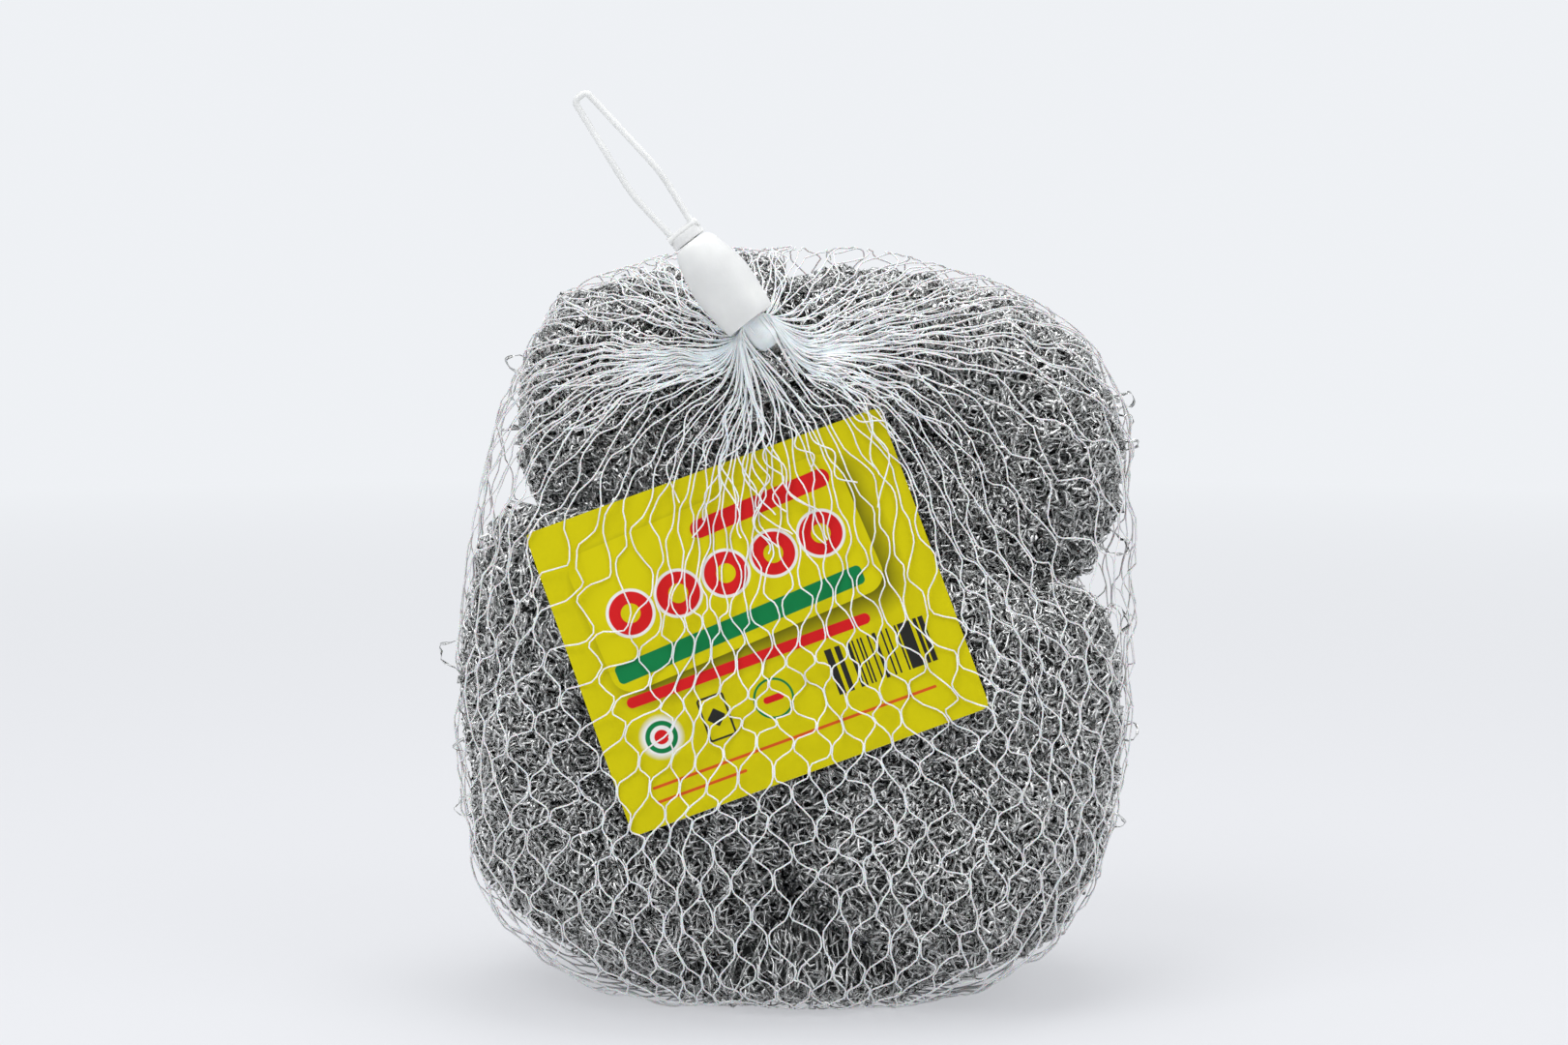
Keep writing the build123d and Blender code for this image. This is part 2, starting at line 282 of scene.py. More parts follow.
class StrandMesh:
    """Gathers swept strands, closed at their ends, and makes one mesh of them."""

    def __init__(self) -> None:
        """Starts with no strand."""
        self.points: list[np.ndarray] = []
        self.quads: list[np.ndarray] = []
        self.caps: list[np.ndarray] = []
        self.marks: list[np.ndarray] = []
        self.point_count = 0
        self.strand_count = 0

    def add(self, path: np.ndarray, across: np.ndarray, section: np.ndarray, closed: bool = False) -> None:
        """Sweeps a section along paths that all have the same number of points.

        Args:
            path: Points of shape (strands, points, 3).
            across: Vectors of the same shape, which the section's first axis follows.
            section: Corners of shape (corners, 2), in metres.
            closed: Whether each path runs back into its own start.
        """
        strands, count, _ = path.shape
        corners = len(section)
        if closed:
            along = np.roll(path, -1, axis=1) - np.roll(path, 1, axis=1)
        else:
            along = np.gradient(path, axis=1)
        along = unit(along)
        side = unit(across - along * (across * along).sum(-1, keepdims=True))
        lift = np.cross(along, side)
        rings = path[:, :, None] + section[:, 0, None] * side[:, :, None]
        rings = rings + section[:, 1, None] * lift[:, :, None]
        self.points.append(rings.reshape(-1, 3))
        spans = count if closed else count - 1
        steps = (np.arange(strands), np.arange(spans), np.arange(corners))
        strand, span, corner = np.meshgrid(*steps, indexing="ij")
        onward, beside = (span + 1) % count, (corner + 1) % corners
        base = self.point_count + strand * count * corners
        ring = ((span, corner), (onward, corner), (onward, beside), (span, beside))
        quad = np.stack([base + row * corners + at for row, at in ring], axis=-1)
        self.quads.append(quad.reshape(-1, 4))
        number = self.strand_count + strand
        left, right = span / spans, (span + 1) / spans
        low, high = number + corner / corners, number + (corner + 1) / corners
        strip = ((left, low), (right, low), (right, high), (left, high))
        mark = np.stack([np.stack(pair, axis=-1) for pair in strip], axis=-2)
        self.marks.append(mark.reshape(-1, 4, 2))
        if not closed:
            fan = np.array([(0, step + 1, step) for step in range(1, corners - 1)])
            first = self.point_count + np.arange(strands)[:, None, None] * count * corners
            last = first + (count - 1) * corners
            self.caps.append((first + fan).reshape(-1, 3))
            self.caps.append((last + fan[:, ::-1]).reshape(-1, 3))
        self.point_count += strands * count * corners
        self.strand_count += strands

    def build(self, name: str, material: Material) -> Object:
        """Makes the object.

        Args:
            name: The piece's name.
            material: Its finish.

        Returns:
            The new object, whose map OFBake gives every strand a strip of its own.
        """
        points = np.concatenate(self.points)
        quads = np.concatenate(self.quads)
        caps = np.concatenate(self.caps) if self.caps else np.zeros((0, 3), int)
        marks = np.concatenate(self.marks)
        marks[..., 1] /= self.strand_count
        flat_marks = np.concatenate([marks.reshape(-1, 2), np.full((len(caps) * 3, 2), 0.5)])
        corners = np.concatenate([quads.ravel(), caps.ravel()])
        starts = np.concatenate([np.arange(len(quads)) * 4, len(quads) * 4 + np.arange(len(caps)) * 3])
        mesh = bpy.data.meshes.new(name)
        mesh.vertices.add(len(points))
        mesh.vertices.foreach_set("co", points.astype(np.float32).ravel())
        mesh.loops.add(len(corners))
        mesh.polygons.add(len(starts))
        mesh.polygons.foreach_set("loop_start", starts.astype(np.int32))
        mesh.polygons.foreach_set("vertices", corners.astype(np.int32))
        layer = mesh.uv_layers.new(name="OFBake")
        layer.data.foreach_set("uv", flat_marks.astype(np.float32).ravel())
        mesh.update(calc_edges=True)
        mesh.shade_smooth()
        return place(name, mesh, material)


def mapped_mesh(name: str, points: np.ndarray, faces: list, marks: list) -> Mesh:
    """A mesh with a map named OFBake.

    Args:
        name: The mesh's name.
        points: Its points, one in a row.
        faces: The numbers of each face's points.
        marks: The map place of every corner of every face.

    Returns:
        The mesh.
    """
    mesh = bpy.data.meshes.new(name)
    mesh.from_pydata(points.tolist(), [], faces)
    layer = mesh.uv_layers.new(name="OFBake")
    layer.data.foreach_set("uv", np.array(marks, np.float32).ravel())
    mesh.update()
    return mesh


def place(name: str, mesh: Mesh, material: Material) -> Object:
    """Links a mesh into the scene under a name, with its finish.

    Args:
        name: The piece's name.
        mesh: Its mesh, already in place.
        material: Its finish.

    Returns:
        The new object.
    """
    piece = bpy.data.objects.new(name, mesh)
    bpy.context.scene.collection.objects.link(piece)
    mesh.materials.append(material)
    return piece


def round_section(radius: float, corners: int) -> np.ndarray:
    """The corners of a round strand's section."""
    angles = TURN * np.arange(corners) / corners
    return radius * np.stack([np.cos(angles), np.sin(angles)], axis=-1)


def grid_mesh(name: str, points: np.ndarray, marks: np.ndarray) -> Mesh:
    """A closed mesh from rings of points, with a point added at each end.

    Args:
        name: The mesh's name.
        points: Points of shape (rings, around, 3).
        marks: Their map places, of the same shape with two numbers.

    Returns:
        The mesh, with smooth faces and a map named OFBake.
    """
    rings, around, _ = points.shape
    vertices = np.concatenate([points.reshape(-1, 3), points[:1].mean(1), points[-1:].mean(1)])
    faces, places = [], []
    for ring in range(rings - 1):
        for step in range(around):
            after = (step + 1) % around
            here, above = ring * around, (ring + 1) * around
            faces.append((here + step, above + step, above + after, here + after))
            ahead = marks[:, step] + np.array([1.0 / around, 0.0])
            places += [marks[ring, step], marks[ring + 1, step], ahead[ring + 1], ahead[ring]]
    low, high = rings * around, rings * around + 1
    for step in range(around):
        after = (step + 1) % around
        faces.append((low, step, after))
        faces.append((high, (rings - 1) * around + after, (rings - 1) * around + step))
        places += [marks[0, step]] * 3 + [marks[-1, step]] * 3
    mesh = mapped_mesh(name, vertices, faces, places)
    mesh.shade_smooth()
    return mesh


class NodeBoard:
    """Short ways to lay shader nodes and link them."""

    def __init__(self, owner: Material | bpy.types.World) -> None:
        """Opens the nodes of a new material or world.

        Args:
            owner: What the nodes belong to.
        """
        self.owner = owner
        self.owner.use_nodes = True
        self.tree = self.owner.node_tree
        self.shader = self.tree.nodes.get("Principled BSDF")

    def feed(self, entry: Socket, value: object) -> None:
        """Links a socket to an input, or sets the input to a value.

        Args:
            entry: The input.
            value: A socket, a number, a vector, or a colour of three numbers.
        """
        if isinstance(value, Socket):
            self.tree.links.new(value, entry)
        else:
            entry.default_value = (*value, 1.0) if entry.type == "RGBA" else value

    def node(self, kind: str, inputs: dict | None = None, **options: object) -> bpy.types.Node:
        """Adds a node.

        Args:
            kind: The node's type, without the ShaderNode before it.
            inputs: Values or sockets for its inputs, by name or number.
            options: Its other properties.

        Returns:
            The node.
        """
        made = self.tree.nodes.new(f"ShaderNode{kind}")
        for key, value in options.items():
            setattr(made, key, value)
        for key, value in (inputs or {}).items():
            self.feed(made.inputs[key], value)
        return made

    def math(self, operation: str, first: object, second: object = 0.0, held: bool = False) -> Socket:
        """The result of a sum on two numbers or sockets."""
        return self.node("Math", {0: first, 1: second}, operation=operation, use_clamp=held).outputs[0]

    def vector(self, operation: str, first: object, second: object = (0.0, 0.0, 0.0)) -> Socket:
        """The vector result of a sum on two vectors or sockets."""
        return self.node("VectorMath", {0: first, 1: second}, operation=operation).outputs[0]

    def mix(self, share: object, below: object, above: object) -> Socket:
        """One colour laid over another by a share from 0 to 1."""
        return self.node("Mix", {0: share, 6: below, 7: above}, data_type="RGBA").outputs[2]

    def spread(self, value: object, low: float, high: float, to_low: float, to_high: float) -> Socket:
        """A number taken from one range to another, held at both ends."""
        return self.node("MapRange", {0: value, 1: low, 2: high, 3: to_low, 4: to_high}).outputs[0]

    def noise(self, where: object, scale: float, detail: float = 3.0, roughness: float = 0.5) -> Socket:
        """Noise from 0 to 1 at a place."""
        inputs = {"Vector": where, "Scale": scale, "Detail": detail, "Roughness": roughness}
        return self.node("TexNoise", inputs).outputs["Fac"]

    def bump(self, height: object, depth: float) -> None:
        """Bumps the shader's face by a height from 0 to 1, depth metres deep."""
        made = self.node("Bump", {"Height": height, "Distance": depth, "Strength": 1.0})
        self.set(Normal=made.outputs[0])

    def length(self, vector: object) -> Socket:
        """The length of a vector."""
        return self.node("VectorMath", {0: vector}, operation="LENGTH").outputs["Value"]

    def place(self) -> Socket:
        """The place of a point in the frame at rest, in metres."""
        return self.node("TexCoord").outputs["Object"]

    def set(self, **inputs: object) -> None:
        """Sets or links the shader's inputs; an underscore in a name stands for a space."""
        for key, value in inputs.items():
            self.feed(self.shader.inputs[key.replace("_", " ")], value)

    def show(self, seen: object, lit: bpy.types.Node, shown: bpy.types.Node, output: str) -> None:
        """Ends the board in one shader where it is looked at and another where it isn't.

        Args:
            seen: How much of the second shader shows.
            lit: The first shader.
            shown: The second shader.
            output: The name of the output node.
        """
        mix = self.node("MixShader", {0: seen, 1: lit.outputs[0], 2: shown.outputs[0]})
        self.tree.links.new(mix.outputs[0], self.tree.nodes[output].inputs["Surface"])


def darker(colour: tuple[float, ...], share: float) -> tuple[float, ...]:
    """A colour with every part brought down to a share of it."""
    return tuple(share * part for part in colour)


@dataclass(frozen=True)
class GalvanisedWire:
    """Bright zinc on flat wire: a little mottled, drawn lengthwise, dull in places."""

    name: str = "galvanised_wire"
    bright: tuple[float, float, float] = (0.95, 0.95, 0.94)
    dull: tuple[float, float, float] = (0.55, 0.56, 0.55)
    patch_scale: float = 260.0
    grain_scale: float = 2400.0

    def build(self) -> Material:
        """Makes the material."""
        board = NodeBoard(bpy.data.materials.new(self.name))
        where = board.place()
        patch = board.noise(where, self.patch_scale, 4.0, 0.6)
        grain = board.noise(where, self.grain_scale, 2.0)
        share = board.spread(patch, 0.36, 0.64, 0.0, 1.0)
        board.set(
            Base_Color=board.mix(share, self.dull, self.bright),
            Metallic=1.0,
            Roughness=board.spread(grain, 0.3, 0.7, 0.18, 0.42),
        )
        board.bump(grain, 0.02 * MM)
        return board.owner


@dataclass(frozen=True)
class PaintedShadeWire:
    """Painted shade for the inside of a scrubber: the far wire that little light reaches is painted dark,
    with fainter painted lit loops.
    """

    name: str = "painted_shade_wire"
    lit: tuple[float, float, float] = (0.42, 0.43, 0.425)
    shade: tuple[float, float, float] = (0.035, 0.038, 0.037)
    loop_scale: float = 420.0

    def build(self) -> Material:
        """Makes the material."""
        board = NodeBoard(bpy.data.materials.new(self.name))
        where = board.place()
        inputs = {"Vector": where, "Scale": self.loop_scale}
        cells = board.node("TexVoronoi", inputs, feature="DISTANCE_TO_EDGE")
        lines = board.spread(cells.outputs["Distance"], 0.02, 0.12, 1.0, 0.0)
        patch = board.noise(where, self.loop_scale / 2, 4.0, 0.6)
        share = board.math("MULTIPLY", lines, board.spread(patch, 0.35, 0.65, 0.1, 1.0))
        # Painted shade: the dark shade colour, lit only along faint loop lines, stands in for dim inner wire.
        board.set(Base_Color=board.mix(share, self.shade, self.lit), Metallic=0.7, Roughness=0.5)
        board.bump(share, 0.6 * MM)
        return board.owner


@dataclass(frozen=True)
class NetPlastic:
    """White, slightly glossy strands."""

    name: str = "net_plastic"
    pale: tuple[float, float, float] = (0.90, 0.905, 0.91)
    greyed: tuple[float, float, float] = (0.74, 0.75, 0.765)

    def build(self) -> Material:
        """Makes the material."""
        board = NodeBoard(bpy.data.materials.new(self.name))
        where = board.place()
        patch = board.noise(where, 180.0, 3.0)
        fibres = board.noise(where, 2600.0, 2.0)
        board.set(
            Base_Color=board.mix(board.spread(patch, 0.4, 0.68, 0.0, 1.0), self.pale, self.greyed),
            Roughness=board.spread(fibres, 0.3, 0.7, 0.3, 0.5),
            Subsurface_Weight=0.25,
            Subsurface_Scale=0.5 * MM,
        )
        board.bump(fibres, 0.02 * MM)
        return board.owner


@dataclass(frozen=True)
class ClipPlastic:
    """Milky moulded plastic: soft light through it, a faint cloud and fine moulding grain."""

    name: str = "clip_plastic"
    milk: tuple[float, float, float] = (0.80, 0.805, 0.795)
    cloud: tuple[float, float, float] = (0.70, 0.705, 0.70)

    def build(self) -> Material:
        """Makes the material."""
        board = NodeBoard(bpy.data.materials.new(self.name))
        where = board.place()
        patch = board.noise(where, 90.0, 3.0)
        grain = board.noise(where, 1500.0, 2.0)
        board.set(
            Base_Color=board.mix(board.spread(patch, 0.35, 0.7, 0.0, 1.0), self.milk, self.cloud),
            Roughness=board.spread(grain, 0.3, 0.7, 0.32, 0.46),
            Subsurface_Weight=0.6,
            Subsurface_Radius=(1.0, 1.0, 0.95),
            Subsurface_Scale=2.5 * MM,
            IOR=1.5,
        )
        board.bump(grain, 0.03 * MM)
        return board.owner


@dataclass(frozen=True)
class Print:
    """One printed shape on the card, in millimetres from its middle, x along it and y up it."""

    colour: tuple[float, float, float]
    middle: tuple[float, float]
    size: tuple[float, float]
    corner: float = 0.0
    turn: float = 0.0
    soft: float = 0.08
    ring: float = 0.0
    strength: float = 1.0


@dataclass(frozen=True)
class PrintedCard:
    """Yellow coated card with plain printed shapes on its face and bare grey board behind."""

    name: str = "printed_card"
    half_map: float = 0.1
    yellow: tuple[float, float, float] = (0.62, 0.55, 0.001)
    olive: tuple[float, float, float] = (0.09, 0.085, 0.001)
    red: tuple[float, float, float] = (0.62, 0.012, 0.014)
    green: tuple[float, float, float] = (0.004, 0.19, 0.055)
    ink: tuple[float, float, float] = (0.02, 0.02, 0.018)
    white: tuple[float, float, float] = (0.80, 0.80, 0.79)
    board: tuple[float, float, float] = (0.50, 0.48, 0.44)
    bar_pitch: float = 0.42 * MM
    bar_share: float = 0.46
    discs: int = 5
    panel_turn: float = math.radians(3.0)

    def shapes(self) -> list[Print]:
        """The printed shapes, from the lowest to the top one."""
        turn = self.panel_turn
        found = [
            Print(self.olive, (-0.8, 10.4), (69.0, 36.0), 6.0, turn, soft=3.4, strength=0.92),
            Print(self.yellow, (-3.0, 13.0), (68.0, 35.0), 5.0, turn),
            Print(self.red, (10.0, 25.6), (35.0, 4.4), 2.2, turn),
            Print(self.green, (-4.0, 0.4), (62.0, 4.6), 1.2, turn),
        ]
        for number in range(self.discs):
            middle = (-27.0 + 12.0 * number, 11.6 + 0.63 * number)
            for colour, across in ((self.white, 11.6), (self.red, 10.2), (self.yellow, 4.6)):
                found.append(Print(colour, middle, (across, across), across / 2))
        ring, mark, seal = (-2.5, -18.4), (-16.5, -18.0), (-30.0, -18.0)
        found += [
            Print(self.red, (-5.0, -8.2), (60.0, 2.6), 1.3),
            Print(self.green, ring, (9.6, 9.6), 4.8, ring=0.55),
            Print(self.red, ring, (5.0, 1.6), 0.8),
            Print(self.ink, mark, (6.6, 10.5), 0.8, ring=0.5),
            Print(self.ink, mark, (3.2, 3.2), 0.3, math.radians(45.0)),
            Print(self.white, seal, (9.6, 9.6), 4.8, soft=0.7),
            Print(self.green, seal, (7.6, 7.6), 3.8, ring=1.1),
            Print(self.red, seal, (3.4, 3.4), 1.7),
        ]
        for row, length in enumerate((70.0, 22.0)):
            middle = (-36.0 + length / 2, -28.6 - 3.4 * row)
            found.append(Print(self.red, middle, (length, 0.7), 0.35, strength=0.85))
        return found

    def cover(self, board: NodeBoard, where: Socket, shape: Print) -> Socket:
        """How much of a point a printed shape covers.

        Args:
            board: The material that is being laid.
            where: The point's place on the card.
            shape: The shape.

        Returns:
            A share from 0 to the shape's strength.
        """
        x, y = (part * MM for part in shape.middle)
        corner, ring, soft = shape.corner * MM, shape.ring * MM, shape.soft * MM
        wide, high = (part * MM / 2 - corner for part in shape.size)
        moved = board.vector("SUBTRACT", where, (x, y, 0.0))
        if shape.turn:
            inputs = {"Vector": moved, "Angle": -shape.turn}
            moved = board.node("VectorRotate", inputs, rotation_type="Z_AXIS").outputs[0]
        past = board.vector("SUBTRACT", board.vector("ABSOLUTE", moved), (wide, high, 0.0))
        outer = board.length(board.vector("MAXIMUM", past))
        split = board.node("SeparateXYZ", {0: past})
        inner = board.math("MINIMUM", board.math("MAXIMUM", split.outputs[0], split.outputs[1]), 0.0)
        gap = board.math("SUBTRACT", board.math("ADD", outer, inner), corner)
        if ring:
            gap = board.math("ABSOLUTE", board.math("ADD", gap, ring / 2))
            gap = board.math("SUBTRACT", gap, ring / 2)
        return board.spread(gap, -soft, soft, shape.strength, 0.0)

    def build(self) -> Material:
        """Makes the material."""
        board = NodeBoard(bpy.data.materials.new(self.name))
        mapped = board.node("UVMap", uv_map="OFBake").outputs[0]
        half = self.half_map
        where = board.vector("MULTIPLY", mapped, (2 * half, half, 0.0))
        where = board.vector("SUBTRACT", where, (half / 2, half / 2, 0.0))
        colour = board.mix(board.noise(where, 900.0, 2.0), self.yellow, darker(self.yellow, 0.93))
        for shape in self.shapes():
            colour = board.mix(self.cover(board, where, shape), colour, shape.colour)
        split = board.node("SeparateXYZ", {0: where})
        step = board.math("FLOOR", board.math("DIVIDE", split.outputs[0], self.bar_pitch))
        dice = board.node("TexWhiteNoise", {"W": step}, noise_dimensions="1D").outputs["Value"]
        block = self.cover(board, where, Print(self.ink, (24.0, -17.5), (25.0, 11.0)))
        bars = board.math("MULTIPLY", board.math("GREATER_THAN", dice, self.bar_share), block)
        colour = board.mix(bars, colour, self.ink)
        behind = board.math("GREATER_THAN", split.outputs[0], half / 2)
        fibres = board.noise(where, 1600.0, 4.0, 0.7)
        bare = board.mix(fibres, self.board, darker(self.board, 0.8))
        coated = board.spread(fibres, 0.3, 0.7, 0.38, 0.5)
        board.set(
            Base_Color=board.mix(behind, colour, bare),
            Roughness=board.math("ADD", board.math("MULTIPLY", behind, 0.35), coated),
            Specular_IOR_Level=0.12,
        )
        board.bump(fibres, 0.03 * MM)
        return board.owner


@dataclass
class LabelCard:
    """The yellow card that the net holds against the scrubbers, a little bowed."""

    width: float = 88.0 * MM
    height: float = 75.0 * MM
    thickness: float = 0.5 * MM
    turn: float = math.radians(20.0)
    lean: float = math.radians(14.0)
    corner: float = 1.2 * MM
    corner_cut: float = 0.7
    bow: float = 0.5 * MM
    columns: int = 44
    rows: int = 38
    edge_room: float = 0.8 * MM
    net_reach: float = 10.0 * MM

    def axes(self) -> tuple[np.ndarray, np.ndarray]:
        """The card's middle, and its ways along, across and out of its face as rows."""
        low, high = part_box("label_card")
        up = np.array([0.0, math.sin(self.lean), math.cos(self.lean)])
        out = np.array([0.0, -math.cos(self.lean), math.sin(self.lean)])
        along = np.array([math.cos(self.turn), 0.0, 0.0]) + up * math.sin(self.turn)
        return np.array((low + high) / 2), np.array([along, np.cross(out, along), out])

    def held(self, points: np.ndarray, gap: float, in_front: bool) -> np.ndarray:
        """Keeps points over the card on one side of it, and all points above the floor.

        Args:
            points: Points of any leading shape.
            gap: How far from the card's face and from the floor they stay.
            in_front: Whether they stay in front of its face or behind its back.

        Returns:
            The points, moved straight out of the card or back from it where needed.
        """
        middle, ways = self.axes()
        local = (points - middle) @ ways.T
        over = np.abs(local[..., 0]) < self.width / 2 + self.edge_room
        over &= np.abs(local[..., 1]) < self.height / 2 + self.edge_room
        limit = self.thickness / 2 + self.bow / 2 + gap
        if in_front:
            over &= local[..., 2] > -self.net_reach
            kept = np.maximum(local[..., 2], limit)
        else:
            kept = np.minimum(local[..., 2], -limit)
        moved = np.where(over, kept - local[..., 2], 0.0)
        found = points + moved[..., None] * ways[2]
        found[..., 2] = np.maximum(found[..., 2], gap)
        return found

    def build(self, finish: PrintedCard) -> None:
        """Builds the card in place.

        Args:
            finish: The card's finish, whose print follows the card's map.
        """
        middle, (along, across, out) = self.axes()
        x = np.linspace(-0.5, 0.5, self.columns + 1) * self.width
        y = np.linspace(-0.5, 0.5, self.rows + 1) * self.height
        x, y = np.meshgrid(x, y)
        past_x = np.maximum(np.abs(x) - (self.width / 2 - self.corner), 0.0)
        past_y = np.maximum(np.abs(y) - (self.height / 2 - self.corner), 0.0)
        over = np.maximum(np.hypot(past_x, past_y) - self.corner, 0.0)
        cut = over * (past_x > 0) * (past_y > 0) * self.corner_cut
        x, y = x - np.sign(x) * cut, y - np.sign(y) * cut
        bent = self.bow * ((2 * x / self.width) ** 2 + (2 * y / self.height) ** 2 - 1.0) * -0.5
        flat = middle + x[..., None] * along + y[..., None] * across
        front = flat + (bent + self.thickness / 2)[..., None] * out
        back = flat + (bent - self.thickness / 2)[..., None] * out
        across_count = self.columns + 1
        total = front.shape[0] * across_count
        faces, marks = [], []
        half = finish.half_map

        def mark(row: int, column: int, behind: bool) -> tuple[float, float]:
            """The map place of a point of the front or of the back."""
            shift = half if behind else 0.0
            return ((x[row, column] + half / 2 + shift) / (2 * half), (y[row, column] + half / 2) / half)

        for row in range(self.rows):
            for column in range(self.columns):
                ring = ((row, column), (row, column + 1), (row + 1, column + 1), (row + 1, column))
                faces.append([r * across_count + c for r, c in ring])
                marks += [mark(r, c, False) for r, c in ring]
                faces.append([total + r * across_count + c for r, c in reversed(ring)])
                marks += [mark(r, c, True) for r, c in reversed(ring)]
        rim = [(0, c) for c in range(self.columns)] + [(r, self.columns) for r in range(self.rows)]
        rim += [(self.rows, c) for c in range(self.columns, 0, -1)]
        rim += [(r, 0) for r in range(self.rows, 0, -1)]
        for here, after in zip(rim, rim[1:] + rim[:1]):
            first, second = here[0] * across_count + here[1], after[0] * across_count + after[1]
            faces.append([first, total + first, total + second, second])
            marks += [mark(*here, True), mark(*here, True), mark(*after, True), mark(*after, True)]
        points = np.concatenate([front.reshape(-1, 3), back.reshape(-1, 3)])
        mesh = mapped_mesh("label_card_print", points, faces, marks)
        piece = place("label_card_print", mesh, finish.build())
        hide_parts("label_card")
        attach(piece, Body.PACK.value)
        LOG.info("%s: %d faces", piece.name, len(mesh.polygons))


@dataclass
class KnitSkin:
    """One knitted skin of a scrubber: rows of wire loops round a pole."""

    pole: tuple[float, float, float]
    depth: float
    stitch: float = 3.3 * MM
    row: float = 2.5 * MM
    loop_rise: float = 0.66
    loop_swing: float = 0.21
    loop_bulge: float = 0.6 * MM
    wander: float = 1.2 * MM
    wander_wave: float = 9.0 * MM
    tangle: float = 0.35 * MM
    tangle_wave: float = 3.4 * MM
    tall_shares: tuple[float, float] = (0.55, 1.5)
    tall_rise: float = 0.5 * MM
    row_shift: float = 0.15
    pole_shift: float = 0.12
    twist: float = 1.1
    stitch_points: int = 9


@dataclass
class Scrubber:
    """A puffy round of knitted flat wire, squeezed into the bag."""

    node: str
    seed: int
    loose: tuple[tuple[float, float, float], ...] = ()
    wire_width: float = 0.8 * MM
    wire_thickness: float = 0.14 * MM
    core_inset: float = 4.4 * MM
    core_gap: float = 1.0 * MM
    core_grid: tuple[int, int] = (40, 80)
    lump: float = 1.8 * MM
    lump_wave: float = 24.0 * MM
    squareness: float = 0.16
    net_gap: float = 1.2 * MM
    strays: int = 70
    stray_points: int = 16
    stray_span: tuple[float, float] = (0.03, 0.07)
    stray_rise: tuple[float, float] = (0.8 * MM, 3.2 * MM)
    stray_root: float = 2.0 * MM
    stray_tangle: float = 0.5 * MM
    stray_wave: float = 4.0 * MM
    stray_twist: float = 1.0
    twist_wave: float = 5.0 * MM
    loose_span: tuple[float, float] = (0.05, 0.08)
    loose_rise: tuple[float, float] = (5.0 * MM, 8.0 * MM)
    skins: tuple[KnitSkin, ...] = (
        KnitSkin((0.15, -1.0, 0.10), 0.9 * MM),
        KnitSkin((-0.8, -0.5, 0.55), 1.9 * MM),
        KnitSkin((0.35, 0.3, 1.0), 3.0 * MM),
    )
    surface: RadialSurface | None = field(default=None, repr=False)
    card: LabelCard | None = field(default=None, repr=False)

    def section(self) -> np.ndarray:
        """The flat wire's section: a broad face and a shallow back."""
        half, thick = self.wire_width / 2, self.wire_thickness
        return np.array([(-half, thick / 3), (half, thick / 3), (0.0, -2 * thick / 3)])

    def inset(self, points: np.ndarray) -> np.ndarray:
        """How far the lumpy form lies under the solid's face near points."""
        return self.lump * 0.5 * (1.0 + WaveNoise(self.seed + 7, self.lump_wave).at(points)).clip(0.0, 2.0)

    def twisted(self, path: np.ndarray, seed: int, most: float) -> np.ndarray:
        """Vectors across the flat wire, which lies on the form but turns a good deal.

        Args:
            path: Points of shape (strands, points, 3).
            seed: Seeds the turns.
            most: The largest common turn, in radians.

        Returns:
            Vectors of the same shape.
        """
        along = unit(np.roll(path, -1, axis=1) - np.roll(path, 1, axis=1))
        outward = unit(path - self.surface.centre)
        flat = unit(np.cross(outward, along))
        lean = most * WaveNoise(seed, self.twist_wave).at(path)[..., None]
        return np.cos(lean) * flat + np.sin(lean) * np.cross(along, flat)

    def knit(self, skin: KnitSkin, number: int, finish: Material) -> Object:
        """Knits one skin of wire over the form.

        Args:
            skin: The skin's pole, depth and stitch.
            number: Which skin it is, from the outside.
            finish: The wire's material.

        Returns:
            The skin as one piece.
        """
        draw = np.random.default_rng(self.seed * 10 + number)
        frame = pole_frame(np.array(skin.pole) + draw.normal(0.0, skin.pole_shift, 3))
        middle = float(self.surface.grid.mean())
        rows = int(math.pi * middle / skin.row)
        mesh = StrandMesh()
        wander = WaveNoise(self.seed * 31 + number, skin.wander_wave)
        tangle = WaveNoise(self.seed * 37 + number, skin.tangle_wave)
        for row in range(1, rows):
            tilt = math.pi * (row + draw.uniform(-skin.row_shift, skin.row_shift)) / rows
            stitches = max(6, round(TURN * middle * math.sin(tilt) / skin.stitch))
            step = np.arange(stitches * skin.stitch_points) / skin.stitch_points
            phase = TURN * step
            tall = draw.uniform(*skin.tall_shares, stitches)[step.astype(int)]
            turn = TURN / stitches * (step + skin.loop_swing * np.sin(2 * phase)) + draw.uniform(0.0, TURN)
            lean = tilt + skin.loop_rise * tall * np.cos(phase) * skin.row / middle
            ways = directions(lean, turn) @ frame
            path = self.surface.points(ways, skin.depth)
            raised = skin.loop_bulge * np.cos(2 * phase) + skin.tall_rise * (tall - 1.0) * np.cos(phase)
            path = path - ways * self.inset(path)[:, None] + ways * raised[:, None]
            path = path + skin.wander * wander.vectors(path) + skin.tangle * tangle.vectors(path)
            path = self.card.held(path, self.wire_width / 2, in_front=False)[None]
            mesh.add(path, self.twisted(path, self.seed + number, skin.twist), self.section(), closed=True)
        piece = mesh.build(f"{self.node}_knit_{number + 1}", finish)
        LOG.info("%s: %d rows of knitted wire", piece.name, rows - 1)
        return piece

